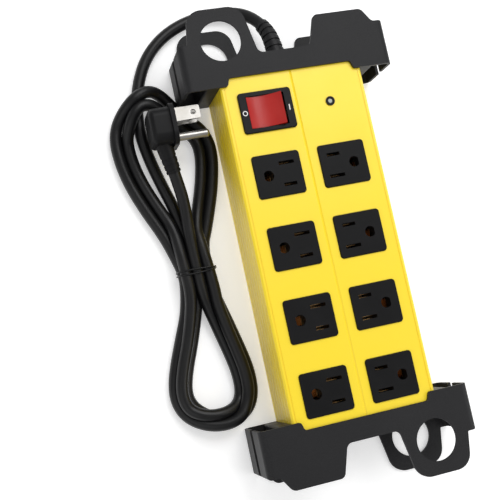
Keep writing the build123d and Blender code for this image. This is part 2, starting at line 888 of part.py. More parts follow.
with BuildPart() as cord_gland:
    rings = (
        (body_end - 2.5, body_end, 8.4),
        (body_end, cap_end, gland_neck_radius),
        (cap_end, cap_end + 2.0, gland_rim_radius),
        (cap_end + 2.0, cap_end + 6.0, 5.6),
    )
    for start, stop, radius in rings:
        with Locations((0, (start + stop) / 2, middle_height)):
            Cylinder(radius, stop - start, rotation=(90, 0, 0))
    with Locations((0, cap_end, middle_height)):
        Cylinder(cord_radius, 24.0, rotation=(90, 0, 0), mode=Mode.SUBTRACT)
save(cord_gland.part, "cord_gland")

lead_route = [
    (0, cord_start, middle_height),
    (0, 126.0, middle_height),
    (-3.0, 141.0, 13.5),
    (-13.0, 151.8, 6.6),
    (-29.5, 153.4, floor),
    (-46.5, 151.3, floor),
    (-62.5, 144.2, floor),
    (-75.0, 133.0, floor),
    (-83.0, 118.5, floor),
    (-87.5, 102.5, floor),
    (-88.6, 86.0, floor),
    (-86.0, 69.5, floor),
    (-82.0, 53.5, floor),
    (-77.4, 38.0, floor),
    (-76.6, 31.0, floor),
]
save(tube(lead_route, cord_radius, corner_radii(lead_route)), "cord_lead")

relief_top = Vector(-78.8, (plug_blade_y + plug_ground_y) / 2 + 2.1 - plug_rim_width / 2, plug_height + 0.4)
relief_end = Vector(-75.6, 57.5, 17.6)
relief_run = (relief_end - relief_top).normalized()
tail_bend = relief_end + relief_run * 12.5
tail_route = [tuple(relief_end), tuple(tail_bend), (-72.4, 33.2, 10.6)]
save(tube(tail_route, cord_radius, corner_radii(tail_route)), "cord_tail")

hank_outside = [
    (-62.3, 2.0), (-61.5, 12.0), (-58.5, 20.0), (-54.2, 31.0), (-49.6, 44.0), (-46.4, 56.0),
    (-44.7, 66.0), (-45.0, 76.0), (-48.9, 86.0), (-57.0, 92.2), (-64.6, 95.6), (-67.0, 101.5),
    (-69.5, 108.0), (-75.0, 111.8), (-81.3, 112.3), (-88.8, 110.3), (-98.5, 103.4), (-105.3, 93.5),
    (-107.9, 84.0), (-107.0, 69.2), (-103.5, 54.0), (-96.6, 36.3), (-90.1, 22.4), (-87.2, 13.0),
    (-84.6, 2.0), (-83.6, -10.0), (-86.9, -23.4), (-92.8, -37.1), (-98.7, -51.2), (-102.2, -62.5),
    (-102.9, -71.4), (-100.7, -80.6), (-94.3, -87.6), (-86.9, -92.2), (-77.9, -95.0), (-68.5, -95.2),
    (-59.0, -91.9), (-53.7, -85.5), (-50.1, -76.6), (-49.8, -65.8), (-51.2, -54.9), (-55.9, -35.3),
    (-59.6, -20.2), (-62.2, -8.0),
]
upper_hole = [
    (-80.8, 33.5), (-89.6, 51.5), (-95.2, 67.2), (-97.1, 79.8), (-95.8, 89.5), (-89.8, 98.0),
    (-82.6, 100.5), (-78.0, 99.0), (-75.0, 93.0), (-71.5, 87.0), (-64.0, 81.0), (-58.6, 75.6),
    (-57.2, 67.0), (-58.6, 56.1), (-61.7, 41.7), (-64.5, 33.5),
]
lower_hole = [
    (-72.9, -21.4), (-74.9, -29.4), (-79.5, -39.9), (-85.8, -49.8), (-90.0, -58.4), (-92.4, -66.7),
    (-92.7, -74.0), (-90.1, -80.1), (-86.2, -84.3), (-81.0, -86.3), (-74.3, -86.9), (-66.2, -85.6),
    (-61.1, -82.0), (-58.8, -76.8), (-57.9, -70.2), (-59.6, -59.7), (-63.8, -46.2), (-67.5, -32.2),
]
tie_y = -1.0
upper_band = cord_diameter + 0.2
full_band = 2 * cord_diameter - 0.6
crossing = (-86.2, 106.0)
hump_middle = (-88.0, 108.0)

with BuildPart() as cord_hank:
    with BuildSketch() as bundle:
        with BuildLine():
            FilletPolyline(*hank_outside, radius=corner_radii(hank_outside, True), close=True)
        make_face()
        with BuildLine():
            FilletPolyline(*upper_hole, radius=corner_radii(upper_hole, True), close=True)
        make_face(mode=Mode.SUBTRACT)
        with BuildLine():
            FilletPolyline(*lower_hole, radius=corner_radii(lower_hole, True), close=True)
        make_face(mode=Mode.SUBTRACT)
    extrude(amount=upper_band)
    with BuildSketch():
        add(bundle.sketch)
        with Locations((-75.0, -35.0)):
            Rectangle(80.0, 137.0, mode=Mode.INTERSECT)
    extrude(amount=full_band)
    with BuildSketch():
        add(bundle.sketch)
        with Locations(hump_middle):
            Rectangle(24.0, 24.0, mode=Mode.INTERSECT)
    extrude(amount=full_band + 1.4)
    with Locations(Location((crossing[0], crossing[1], upper_band / 2), (0, 0, -14.0))):
        Box(9.0, 34.0, upper_band + 0.6, mode=Mode.SUBTRACT)
    with BuildSketch():
        with Locations((-73.0, tie_y)):
            Rectangle(40.0, 4.0)
            Rectangle(22.0, 4.0, mode=Mode.SUBTRACT)
    extrude(amount=full_band, mode=Mode.SUBTRACT)
    block_low = (-73.0, tie_y, 0.3)
    with Locations(block_low, (-73.0, tie_y, full_band - 0.3)):
        Box(22.0, 4.0, 0.6, mode=Mode.SUBTRACT)
save(cord_hank.part, "cord_hank")

with BuildPart() as cord_tie:
    with Locations((-73.0, tie_y, full_band / 2)):
        Box(23.2, 4.0, full_band)
        Box(22.0, 4.0, full_band - 1.2, mode=Mode.SUBTRACT)
    with Locations((-69.0, tie_y + 0.5, full_band + 0.6)):
        Cylinder(0.9, 9.0, rotation=(0, 90, 20))
save(cord_tie.part, "cord_tie")

# ---------------------------------------------------------------- plug
with BuildPart() as plug_body:
    rim_middle = (plug_blade_y + plug_ground_y) / 2 + 0.6
    with BuildSketch(Plane.YZ.offset(plug_face_x - plug_rim_thickness)):
        with Locations((rim_middle, plug_height)):
            RectangleRounded(plug_rim_width, plug_rim_height, 7.0)
    extrude(amount=plug_rim_thickness)
    with BuildSketch(Plane.YZ.offset(plug_face_x - plug_body_depth)):
        with Locations((rim_middle, plug_height)):
            RectangleRounded(plug_rim_width - 3.0, plug_rim_height - 4.0, 6.0)
    extrude(amount=plug_body_depth - plug_rim_thickness)
    fillet(plug_body.faces().sort_by(Axis.X)[0].edges(), 3.0)
save(plug_body.part, "plug_body")

relief_length = (relief_end - relief_top).length
with BuildPart() as plug_relief:
    with BuildSketch(Plane(origin=relief_top - relief_run * 2.0, z_dir=relief_run)):
        Circle(5.1)
    with BuildSketch(Plane(origin=relief_end, z_dir=relief_run)):
        Circle(4.3)
    loft()
    for share in (0.4, 0.62, 0.84):
        with BuildSketch(Plane(origin=relief_top + relief_run * (relief_length * share), z_dir=relief_run)):
            Circle(6.5)
            Circle(4.7 - 0.8 * share, mode=Mode.SUBTRACT)
        extrude(amount=1.2, mode=Mode.SUBTRACT)
    with Locations((relief_top.X, relief_top.Y + 5.0, relief_top.Z)):
        Box(30.0, 10.0, 30.0, mode=Mode.SUBTRACT)
save(plug_relief.part, "plug_relief")


def blade(name, width, offset):
    """A flat blade with a hole near its tip, standing out of the plug's face."""
    with BuildPart() as made:
        with BuildSketch(Plane.XY.offset(plug_height + offset - blade_thickness / 2)):
            with Locations((plug_face_x + blade_length / 2, plug_blade_y)):
                Rectangle(blade_length, width)
            with Locations((plug_face_x + blade_length - 4.0, plug_blade_y)):
                Circle(1.6, mode=Mode.SUBTRACT)
        extrude(amount=blade_thickness)
        tips = made.edges().filter_by(Axis.Z).sort_by(Axis.X)[-2:]
        fillet(tips, 1.2)
    save(made.part, name)


blade("plug_blade_line", line_blade_width, -blade_spacing / 2)
blade("plug_blade_neutral", neutral_blade_width, blade_spacing / 2)

with BuildPart() as plug_ground_pin:
    with BuildSketch(Plane.YZ.offset(plug_face_x)):
        with Locations((plug_ground_y, plug_height)):
            Circle(ground_pin_radius)
    extrude(amount=ground_pin_length)
    fillet(plug_ground_pin.faces().sort_by(Axis.X)[-1].edges(), 1.6)
save(plug_ground_pin.part, "plug_ground_pin")
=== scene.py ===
"""An eight-outlet workshop power strip with hanging brackets and its cord tied in a bundle."""

from math import cos, pi, sin

import bmesh
import bpy
from mathutils import Matrix, Vector


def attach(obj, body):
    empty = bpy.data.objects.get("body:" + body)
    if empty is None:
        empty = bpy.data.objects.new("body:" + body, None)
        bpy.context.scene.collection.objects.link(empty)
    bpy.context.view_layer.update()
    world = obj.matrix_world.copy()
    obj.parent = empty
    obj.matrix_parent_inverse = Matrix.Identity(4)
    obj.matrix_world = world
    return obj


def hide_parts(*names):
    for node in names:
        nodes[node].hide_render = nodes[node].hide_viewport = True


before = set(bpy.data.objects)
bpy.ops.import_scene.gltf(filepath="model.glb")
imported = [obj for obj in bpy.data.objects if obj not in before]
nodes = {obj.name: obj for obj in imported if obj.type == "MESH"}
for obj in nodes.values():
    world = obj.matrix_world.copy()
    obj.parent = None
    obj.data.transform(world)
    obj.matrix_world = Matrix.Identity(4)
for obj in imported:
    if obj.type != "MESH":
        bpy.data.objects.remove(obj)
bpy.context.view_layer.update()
MM = 0.001

# ---------------------------------------------------------------- camera
# Where the camera stands, in millimetres, and its own three directions.
EYE_PLACE = (-168.74, -43.70, 543.8)
EYE_RIGHT = (0.95437, -0.20956, 0.21273)
EYE_UP = (0.18395, 0.97376, 0.13400)
EYE_BACK = (-0.23523, -0.08875, 0.96788)

eye = bpy.data.objects.new("camera", bpy.data.cameras.new("camera"))
bpy.context.scene.collection.objects.link(eye)
eye.data.lens = 66.782
eye.data.sensor_width = 36
eye.data.clip_start = 0.01
turn = Matrix((EYE_RIGHT, EYE_UP, EYE_BACK)).transposed().to_4x4()
eye.matrix_world = Matrix.Translation(Vector(EYE_PLACE) * MM) @ turn
bpy.context.scene.camera = eye

# ---------------------------------------------------------------- cord
# Out of the gland, round to the left, three lower loops and two upper ones, then the plug.
CORD_ROUTE = [
    (0.0, 109.5, 20.3), (0.0, 126.0, 20.3), (-3.0, 141.0, 13.5), (-13.0, 151.8, 6.6),
    (-29.5, 153.4, 3.65), (-46.5, 151.3, 3.65), (-62.5, 144.2, 3.65), (-75.0, 133.0, 3.65),
    (-83.0, 118.5, 3.65), (-87.5, 102.5, 3.65), (-88.6, 86.0, 3.65), (-86.0, 69.5, 3.65),
    (-82.0, 53.5, 3.65), (-77.4, 38.0, 3.65), (-75.4, 24.0, 3.65), (-73.6, 11.0, 3.65),
    (-72.7, -1.0, 3.65),
    (-74.3, -13.0, 3.65), (-77.2, -24.0, 3.65), (-83.1, -41.2, 3.65), (-88.8, -54.9, 3.65),
    (-91.8, -64.5, 3.65), (-92.4, -71.3, 3.65), (-90.8, -76.5, 3.65), (-87.8, -80.5, 3.65),
    (-82.7, -84.6, 3.65), (-76.4, -87.9, 3.7), (-69.3, -89.5, 3.7), (-62.5, -88.5, 3.65),
    (-56.9, -83.6, 3.65), (-53.9, -75.9, 3.65), (-53.5, -66.0, 3.65), (-54.9, -55.6, 3.65),
    (-59.4, -36.1, 3.65), (-63.1, -21.1, 3.65), (-65.3, -12.9, 3.65), (-65.8, -1.0, 3.65),
    (-65.0, 14.5, 3.65), (-61.8, 21.4, 3.65), (-57.6, 32.3, 3.65), (-53.0, 45.1, 3.65),
    (-49.9, 56.8, 3.65), (-48.3, 66.3, 3.65), (-48.5, 75.3, 3.65), (-51.8, 83.9, 3.65),
    (-57.9, 89.6, 3.65), (-63.6, 95.4, 3.65), (-67.8, 102.0, 4.2), (-72.6, 107.4, 6.0),
    (-78.0, 109.7, 9.4), (-84.0, 108.7, 11.8), (-90.2, 105.2, 11.8), (-96.3, 99.9, 8.2),
    (-101.4, 92.9, 4.2), (-104.1, 83.7, 3.65), (-103.4, 69.7, 3.65), (-100.1, 55.1, 3.65),
    (-93.7, 38.4, 3.65), (-87.7, 25.4, 3.65), (-84.0, 14.7, 3.65), (-79.6, -1.0, 3.65),
    (-80.6, -12.0, 3.65), (-83.5, -24.7, 3.65), (-89.5, -38.5, 3.65), (-95.3, -52.5, 3.65),
    (-98.6, -63.2, 3.65), (-99.3, -72.1, 3.65), (-96.8, -80.0, 3.65), (-91.7, -85.7, 6.0),
    (-84.8, -89.5, 8.1), (-76.9, -91.3, 9.7), (-69.2, -90.7, 10.5), (-63.2, -87.5, 10.5),
    (-59.8, -81.8, 9.6), (-57.3, -75.2, 9.6), (-57.0, -66.1, 9.6), (-58.3, -56.3, 9.6),
    (-62.3, -37.0, 9.6), (-64.9, -21.9, 10.0), (-65.0, -13.0, 10.4), (-65.8, -1.0, 10.4),
    (-67.4, 16.1, 9.6), (-67.3, 24.0, 6.0), (-64.1, 34.7, 3.8), (-59.7, 47.2, 3.65),
    (-56.7, 58.3, 3.65), (-55.3, 66.7, 3.65), (-55.4, 73.8, 3.65), (-57.5, 79.8, 3.65),
    (-62.5, 84.6, 3.65), (-68.6, 90.2, 4.6), (-73.4, 96.4, 7.6), (-79.0, 100.9, 10.6),
    (-85.2, 101.6, 11.8), (-90.2, 97.9, 11.8), (-93.6, 92.3, 10.0), (-95.9, 87.0, 6.8),
    (-97.1, 82.0, 4.2), (-96.5, 70.7, 3.65), (-93.4, 57.1, 3.65), (-87.2, 41.1, 3.65),
    (-81.4, 27.9, 5.6), (-80.4, 15.9, 9.6), (-79.6, -1.0, 10.4), (-79.3, -12.5, 10.6),
    (-81.0, -23.0, 10.0), (-86.3, -39.9, 9.6), (-92.0, -53.7, 9.6), (-95.2, -63.9, 9.6),
    (-95.8, -71.7, 9.6), (-93.8, -78.3, 9.6), (-88.5, -82.4, 10.5), (-82.3, -84.5, 10.5),
    (-75.8, -85.1, 9.7), (-70.1, -84.3, 8.1), (-65.6, -82.4, 6.0), (-62.4, -79.0, 4.0),
    (-60.7, -74.0, 3.65), (-60.5, -66.3, 3.65), (-61.7, -56.9, 3.65), (-66.2, -37.8, 3.65),
    (-70.2, -22.5, 6.0), (-72.4, -13.0, 9.8), (-72.7, -1.0, 10.4), (-73.2, 10.0, 11.2),
    (-73.0, 22.0, 11.6), (-72.6, 34.0, 12.2), (-73.1, 45.9, 13.8), (-75.6, 57.5, 17.6),
]
CORD_RADIUS = 3.6


def smooth_line(name, points, radius, smooth=12):
    """A round line of one smooth spline, guided by its control points.

    Each point's own radius is a millimetre, so the bevel is in millimetres and the box is true.
    """
    curve = bpy.data.curves.new(name, "CURVE")
    curve.dimensions = "3D"
    spline = curve.splines.new("NURBS")
    spline.points.add(len(points) - 1)
    for point, place in zip(spline.points, points):
        point.co = (*(c * MM for c in place), 1)
        point.radius = MM
    spline.order_u = 3
    spline.use_endpoint_u = True
    curve.resolution_u = smooth
    curve.bevel_depth = radius
    curve.bevel_resolution = 6
    curve.use_fill_caps = True
    piece = bpy.data.objects.new(name, curve)
    bpy.context.scene.collection.objects.link(piece)
    return piece


cord = smooth_line("mains_cord", CORD_ROUTE, CORD_RADIUS)
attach(cord, "strip")
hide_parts("cord_lead", "cord_hank", "cord_tail")


# ---------------------------------------------------------------- materials
def effect(name, inputs, outputs):
    """An empty shader node group with named inputs, as name: (kind, default), and outputs."""
    group = bpy.data.node_groups.new(name, "ShaderNodeTree")
    for label, (kind, default) in inputs.items():
        socket = group.interface.new_socket(label, in_out="INPUT", socket_type=kind)
        if default is not None:
            socket.default_value = default
    for label, kind in outputs.items():
        group.interface.new_socket(label, in_out="OUTPUT", socket_type=kind)
    start = group.nodes.new("NodeGroupInput")
    end = group.nodes.new("NodeGroupOutput")
    return group, start.outputs, end.inputs


def node(tree, kind, values=None, **settings):
    """A node in a tree, with its settings and its sockets' plain values or links."""
    made = tree.nodes.new(kind)
    for key, value in settings.items():
        setattr(made, key, value)
    for key, value in (values or {}).items():
        if isinstance(value, bpy.types.NodeSocket):
            tree.links.new(value, made.inputs[key])
        else:
            made.inputs[key].default_value = value
    return made


def noise(tree, place, scale, detail):
    """A cloudy noise over the surface."""
    return node(tree, "ShaderNodeTexNoise", {"Vector": place, "Scale": scale, "Detail": detail})


def spread(tree, value, low, high, most):
    """A value stretched so that low becomes 0 and high becomes most, with nothing past either."""
    return node(
        tree,
        "ShaderNodeMapRange",
        {"Value": value, "From Min": low, "From Max": high, "To Min": 0.0, "To Max": most},
    ).outputs[0]


def blended(tree, share, first, second):
    """One colour turning into another by a share."""
    mix = node(tree, "ShaderNodeMix", {0: share}, data_type="RGBA")
    tree.links.new(first, mix.inputs[6])
    tree.links.new(second, mix.inputs[7])
    return mix.outputs[2]


FLOAT = "NodeSocketFloat"
COLOR = "NodeSocketColor"
VECTOR = "NodeSocketVector"


def paint_effect():
    """Powder coat: a faint orange peel, tiny speckle and broad, soft patches of handling."""
    group, given, out = effect(
        "powder_coat",
        {
            "Place": (VECTOR, None),
            "Colour": (COLOR, (0.5, 0.5, 0.5, 1)),
            "Dirt": (COLOR, (0.2, 0.2, 0.2, 1)),
            "Speckle": (FLOAT, 0.1),
            "Peel": (FLOAT, 700.0),
            "Roughness": (FLOAT, 0.4),
        },
        {"Colour": COLOR, "Roughness": FLOAT, "Height": FLOAT},
    )
    peel = noise(group, given["Place"], given["Peel"], 2.0)
    fine = noise(group, given["Place"], 3200.0, 1.0)
    broad = noise(group, given["Place"], 26.0, 5.0)
    dots = spread(group, fine.outputs["Fac"], 0.5, 0.72, 1.0)
    dotted = node(group, "ShaderNodeMath", {0: dots, 1: given["Speckle"]}, operation="MULTIPLY")
    patch = spread(group, broad.outputs["Fac"], 0.45, 0.8, 0.12)
    share = node(
        group,
        "ShaderNodeMath",
        {0: dotted.outputs[0], 1: patch},
        operation="ADD",
        use_clamp=True,
    )
    rough = node(
        group,
        "ShaderNodeMath",
        {0: patch, 1: 0.8, 2: given["Roughness"]},
        operation="MULTIPLY_ADD",
        use_clamp=True,
    )
    height = node(
        group,
        "ShaderNodeMath",
        {0: fine.outputs["Fac"], 1: 0.35, 2: peel.outputs["Fac"]},
        operation="MULTIPLY_ADD",
    )
    colour = blended(group, share.outputs[0], given["Colour"], given["Dirt"])
    group.links.new(colour, out["Colour"])
    group.links.new(rough.outputs[0], out["Roughness"])
    group.links.new(height.outputs[0], out["Height"])
    return group


def grain_effect():
    """Moulded plastic or rubber: an eroded grain, and slightly polished or dusty places."""
    group, given, out = effect(
        "moulded_grain",
        {
            "Place": (VECTOR, None),
            "Colour": (COLOR, (0.03, 0.03, 0.03, 1)),
            "Dust": (COLOR, (0.2, 0.2, 0.2, 1)),
            "Dust Share": (FLOAT, 0.06),
            "Grain": (FLOAT, 1800.0),
            "Roughness": (FLOAT, 0.45),
        },
        {"Colour": COLOR, "Roughness": FLOAT, "Height": FLOAT},
    )
    grain = noise(group, given["Place"], given["Grain"], 3.0)
    worn = noise(group, given["Place"], 70.0, 6.0)
    lint = spread(group, worn.outputs["Fac"], 0.42, 0.75, 1.0)
    share = node(group, "ShaderNodeMath", {0: lint, 1: given["Dust Share"]}, operation="MULTIPLY")
    rough = node(
        group,
        "ShaderNodeMath",
        {0: lint, 1: 0.12, 2: given["Roughness"]},
        operation="MULTIPLY_ADD",
        use_clamp=True,
    )
    colour = blended(group, share.outputs[0], given["Colour"], given["Dust"])
    group.links.new(colour, out["Colour"])
    group.links.new(rough.outputs[0], out["Roughness"])
    group.links.new(grain.outputs["Fac"], out["Height"])
    return group


def metal_effect():
    """Rolled or plated metal: fine drawn lines one way, and a soft tarnish."""
    group, given, out = effect(
        "rolled_metal",
        {
            "Place": (VECTOR, None),
            "Colour": (COLOR, (0.7, 0.7, 0.7, 1)),
            "Tarnish": (COLOR, (0.4, 0.35, 0.3, 1)),
            "Lines": (FLOAT, 900.0),
            "Roughness": (FLOAT, 0.3),
        },
        {"Colour": COLOR, "Roughness": FLOAT, "Height": FLOAT},
    )
    stretched = node(group, "ShaderNodeMapping", {"Vector": given["Place"], "Scale": (1.0, 0.04, 1.0)})
    lines = noise(group, stretched.outputs[0], given["Lines"], 3.0)
    cloud = noise(group, given["Place"], 120.0, 4.0)
    share = spread(group, cloud.outputs["Fac"], 0.4, 0.75, 0.5)
    rough = node(
        group,
        "ShaderNodeMath",
        {0: lines.outputs["Fac"], 1: 0.15, 2: given["Roughness"]},
        operation="MULTIPLY_ADD",
        use_clamp=True,
    )
    colour = blended(group, share, given["Colour"], given["Tarnish"])
    group.links.new(colour, out["Colour"])
    group.links.new(rough.outputs[0], out["Roughness"])
    group.links.new(lines.outputs["Fac"], out["Height"])
    return group


POWDER_COAT = paint_effect()
MOULDED_GRAIN = grain_effect()
ROLLED_METAL = metal_effect()


def finish(name, group, values, bump=0.1, depth=0.0001, **plain):
    """A material: an effect group over object coordinates, with the shader's plain values."""
    material = bpy.data.materials.new(name)
    material.use_nodes = True
    tree = material.node_tree
    shader = next(n for n in tree.nodes if n.type == "BSDF_PRINCIPLED")
    place = node(tree, "ShaderNodeTexCoord").outputs["Object"]
    surface = node(tree, "ShaderNodeGroup", node_tree=group)
    tree.links.new(place, surface.inputs["Place"])
    for key, value in values.items():
        surface.inputs[key].default_value = (*value, 1) if isinstance(value, tuple) else value
    raised = node(
        tree,
        "ShaderNodeBump",
        {"Strength": bump, "Distance": depth, "Height": surface.outputs["Height"]},
    )
    tree.links.new(surface.outputs["Colour"], shader.inputs["Base Color"])
    tree.links.new(surface.outputs["Roughness"], shader.inputs["Roughness"])
    tree.links.new(raised.outputs[0], shader.inputs["Normal"])
    for key, value in plain.items():
        shader.inputs[key.replace("_", " ")].default_value = value
    return material


yellow_coat = finish(
    "yellow_powder_coat",
    POWDER_COAT,
    {
        "Colour": (0.96, 0.72, 0.018),
        "Dirt": (0.80, 0.56, 0.02),
        "Speckle": 0.12,
        "Peel": 620.0,
        "Roughness": 0.36,
    },
    bump=0.16,
    Coat_Weight=0.15,
    Coat_Roughness=0.25,
)
charcoal_coat = finish(
    "charcoal_powder_coat",
    POWDER_COAT,
    {
        "Colour": (0.0125, 0.0125, 0.0135),
        "Dirt": (0.042, 0.042, 0.045),
        "Speckle": 0.5,
        "Peel": 1500.0,
        "Roughness": 0.5,
    },
    bump=0.4,
    depth=0.00012,
    Specular_IOR_Level=0.2,
)
cap_plastic = finish(
    "black_moulding",
    MOULDED_GRAIN,
    {"Colour": (0.006, 0.006, 0.007), "Dust": (0.05, 0.05, 0.05), "Grain": 1500.0, "Roughness": 0.48},
    bump=0.25,
    Specular_IOR_Level=0.3,
)
outlet_plastic = finish(
    "outlet_moulding",
    MOULDED_GRAIN,
    {"Colour": (0.006, 0.006, 0.0065), "Dust": (0.03, 0.03, 0.03), "Grain": 2100.0, "Roughness": 0.40},
    bump=0.18,
    Specular_IOR_Level=0.12,
)
bezel_plastic = finish(
    "bezel_moulding",
    MOULDED_GRAIN,
    {"Colour": (0.006, 0.006, 0.007), "Dust": (0.04, 0.04, 0.04), "Grain": 2400.0, "Roughness": 0.34},
    bump=0.1,
    Specular_IOR_Level=0.12,
)
rocker_red = finish(
    "rocker_red",
    MOULDED_GRAIN,
    {
        "Colour": (0.40, 0.012, 0.009),
        "Dust": (0.52, 0.04, 0.03),
        "Dust Share": 0.25,
        "Grain": 500.0,
        "Roughness": 0.32,
    },
    bump=0.05,
    Specular_IOR_Level=0.3,
    Coat_Weight=0.15,
    Coat_Roughness=0.2,
)
cord_jacket = finish(
    "cord_jacket",
    MOULDED_GRAIN,
    {"Colour": (0.004, 0.004, 0.0045), "Dust": (0.03, 0.03, 0.03), "Grain": 900.0, "Roughness": 0.36},
    bump=0.12,
    Specular_IOR_Level=0.3,
)
plug_rubber = finish(
    "plug_moulding",
    MOULDED_GRAIN,
    {"Colour": (0.006, 0.006, 0.0065), "Dust": (0.04, 0.04, 0.04), "Grain": 1300.0, "Roughness": 0.42},
    bump=0.3,
    Specular_IOR_Level=0.15,
)
tray_plastic = finish(
    "tray_moulding",
    MOULDED_GRAIN,
    {"Colour": (0.62, 0.60, 0.54), "Dust": (0.45, 0.42, 0.36), "Grain": 1500.0, "Roughness": 0.5},
    bump=0.2,
)
white_mark = finish(
    "white_print",
    MOULDED_GRAIN,
    {"Colour": (0.85, 0.84, 0.82), "Dust": (0.7, 0.66, 0.62), "Grain": 2600.0, "Roughness": 0.45},
    bump=0.05,
)
lens_plastic = finish(
    "indicator_lens",
    MOULDED_GRAIN,
    {"Colour": (0.22, 0.25, 0.21), "Dust": (0.35, 0.38, 0.33), "Grain": 900.0, "Roughness": 0.12},
    bump=0.04,
    Coat_Weight=0.5,
)
brass_strip = finish(
    "rolled_brass",
    ROLLED_METAL,
    {"Colour": (0.80, 0.50, 0.22), "Tarnish": (0.50, 0.27, 0.12), "Lines": 1100.0, "Roughness": 0.2},
    bump=0.1,
    Metallic=1.0,
)
plated_steel = finish(
    "zinc_plate",
    ROLLED_METAL,
    {"Colour": (0.62, 0.62, 0.60), "Tarnish": (0.42, 0.42, 0.40), "Lines": 800.0, "Roughness": 0.28},
    bump=0.12,
    Metallic=1.0,
)
nickel_blade = finish(
    "nickel_plate",
    ROLLED_METAL,
    {"Colour": (0.40, 0.39, 0.37), "Tarnish": (0.27, 0.25, 0.22), "Lines": 1400.0, "Roughness": 0.24},
    bump=0.08,
    Metallic=1.0,
)
board_green = finish(
    "printed_board",
    MOULDED_GRAIN,
    {"Colour": (0.02, 0.13, 0.04), "Dust": (0.08, 0.22, 0.08), "Grain": 700.0, "Roughness": 0.3},
    bump=0.15,
)
blue_epoxy = finish(
    "blue_epoxy",
    MOULDED_GRAIN,
    {"Colour": (0.02, 0.07, 0.33), "Dust": (0.08, 0.14, 0.4), "Grain": 300.0, "Roughness": 0.25},
    bump=0.2,
)
ochre_case = finish(
    "ochre_case",
    MOULDED_GRAIN,
    {"Colour": (0.60, 0.36, 0.04), "Dust": (0.5, 0.36, 0.1), "Grain": 1200.0, "Roughness": 0.35},
    bump=0.1,
)
ceramic = finish(
    "pale_ceramic",
    MOULDED_GRAIN,
    {"Colour": (0.66, 0.62, 0.52), "Dust": (0.5, 0.46, 0.4), "Grain": 1500.0, "Roughness": 0.3},
    bump=0.1,
)
neon_glass = finish(
    "neon_glass",
    MOULDED_GRAIN,
    {"Colour": (0.95, 0.62, 0.42), "Dust": (0.9, 0.7, 0.5), "Grain": 300.0, "Roughness": 0.06},
    bump=0.02,
    Transmission_Weight=0.8,
)
wire_colours = {
    "black": ((0.012, 0.012, 0.013), (0.06, 0.06, 0.06)),
    "white": ((0.74, 0.73, 0.70), (0.55, 0.53, 0.48)),
    "green": ((0.02, 0.22, 0.06), (0.08, 0.3, 0.12)),
}
wire_skin = {
    name: finish(
        name + "_wire",
        MOULDED_GRAIN,
        {"Colour": colour, "Dust": dust, "Grain": 1000.0, "Roughness": 0.3},
    )
    for name, (colour, dust) in wire_colours.items()
}

# ---------------------------------------------------------------- carried-over pieces
COATS = {
    "housing_cover": yellow_coat,
    "housing_base": plated_steel,
    "pan_screws": plated_steel,
    "ground_screw": plated_steel,
    "end_cap_top": cap_plastic,
    "end_cap_bottom": cap_plastic,
    "cord_gland": cap_plastic,
    "led_bezel": bezel_plastic,
    "led_lens": lens_plastic,
    "switch_housing": bezel_plastic,
    "switch_rocker": rocker_red,
    "switch_plunger": tray_plastic,
    "switch_contact_arm": brass_strip,
    "switch_terminals": brass_strip,
    "switch_lamp": neon_glass,
    "bus_jumpers": brass_strip,
    "surge_board": board_green,
    "board_standoffs": tray_plastic,
    "varistors": blue_epoxy,
    "suppression_capacitor": ochre_case,
    "thermal_fuse": ceramic,
    "lead_line": wire_skin["black"],
    "lead_switched": wire_skin["black"],
    "lead_neutral": wire_skin["white"],
    "lead_board": wire_skin["white"],
    "lead_ground": wire_skin["green"],
    "lead_bond": wire_skin["green"],
    "plug_body": plug_rubber,
    "plug_relief": plug_rubber,
    "plug_blade_line": nickel_blade,
    "plug_blade_neutral": nickel_blade,
    "plug_ground_pin": nickel_blade,
}
for end in ("top", "bottom"):
    COATS["bracket_front_" + end] = charcoal_coat
    COATS["bracket_rear_" + end] = charcoal_coat
    COATS["bracket_posts_" + end] = plated_steel
    COATS["bracket_screws_" + end] = plated_steel
for column in ("left", "right"):
    for number in range(1, 5):
        COATS[f"outlet_{column}_{number}"] = outlet_plastic
    for strip in ("neutral", "line", "ground"):
        COATS[f"bus_{strip}_{column}"] = brass_strip
    COATS["contact_carrier_" + column] = tray_plastic


def coat(piece, material):
    """Give a piece its material on its object, leaving its mesh as it is."""
    if not piece.material_slots:
        piece.data.materials.append(material)
    for place in piece.material_slots:
        place.link = "OBJECT"
        place.material = material


for name, material in COATS.items():
    coat(nodes[name], material)
cord.data.materials.append(cord_jacket)


# ---------------------------------------------------------------- new pieces
def piece_of(name, shape, material, body, smooth=True):
    """A finished mesh as a piece of the scene, riding on a body."""
    bmesh.ops.recalc_face_normals(shape, faces=shape.faces)
    mesh = bpy.data.meshes.new(name)
    shape.to_mesh(mesh)
    shape.free()
    for face in mesh.polygons:
        face.use_smooth = smooth
    made = bpy.data.objects.new(name, mesh)
    bpy.context.scene.collection.objects.link(made)
    mesh.materials.append(material)
    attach(made, body)
    return made


# Printed marks on the bezel, either side of the rocker: a ring for off, a bar for on.
SWITCH_X, SWITCH_Y = -18.7, 79.9
BEZEL_TOP = 40.1
MARK_OFFSET = 13.4
PRINT_THICKNESS = 0.07
RING_RADIUS, RING_HOLE = 1.5, 0.68
BAR_WIDTH, BAR_HEIGHT = 0.6, 3.4
BAR_ROUNDING = 0.15


def on_bezel(x):
    """A place on the bezel's flat face, at a distance from the rocker's middle."""
    return Matrix.Translation(Vector((SWITCH_X + x, SWITCH_Y, BEZEL_TOP - 0.02)) * MM)


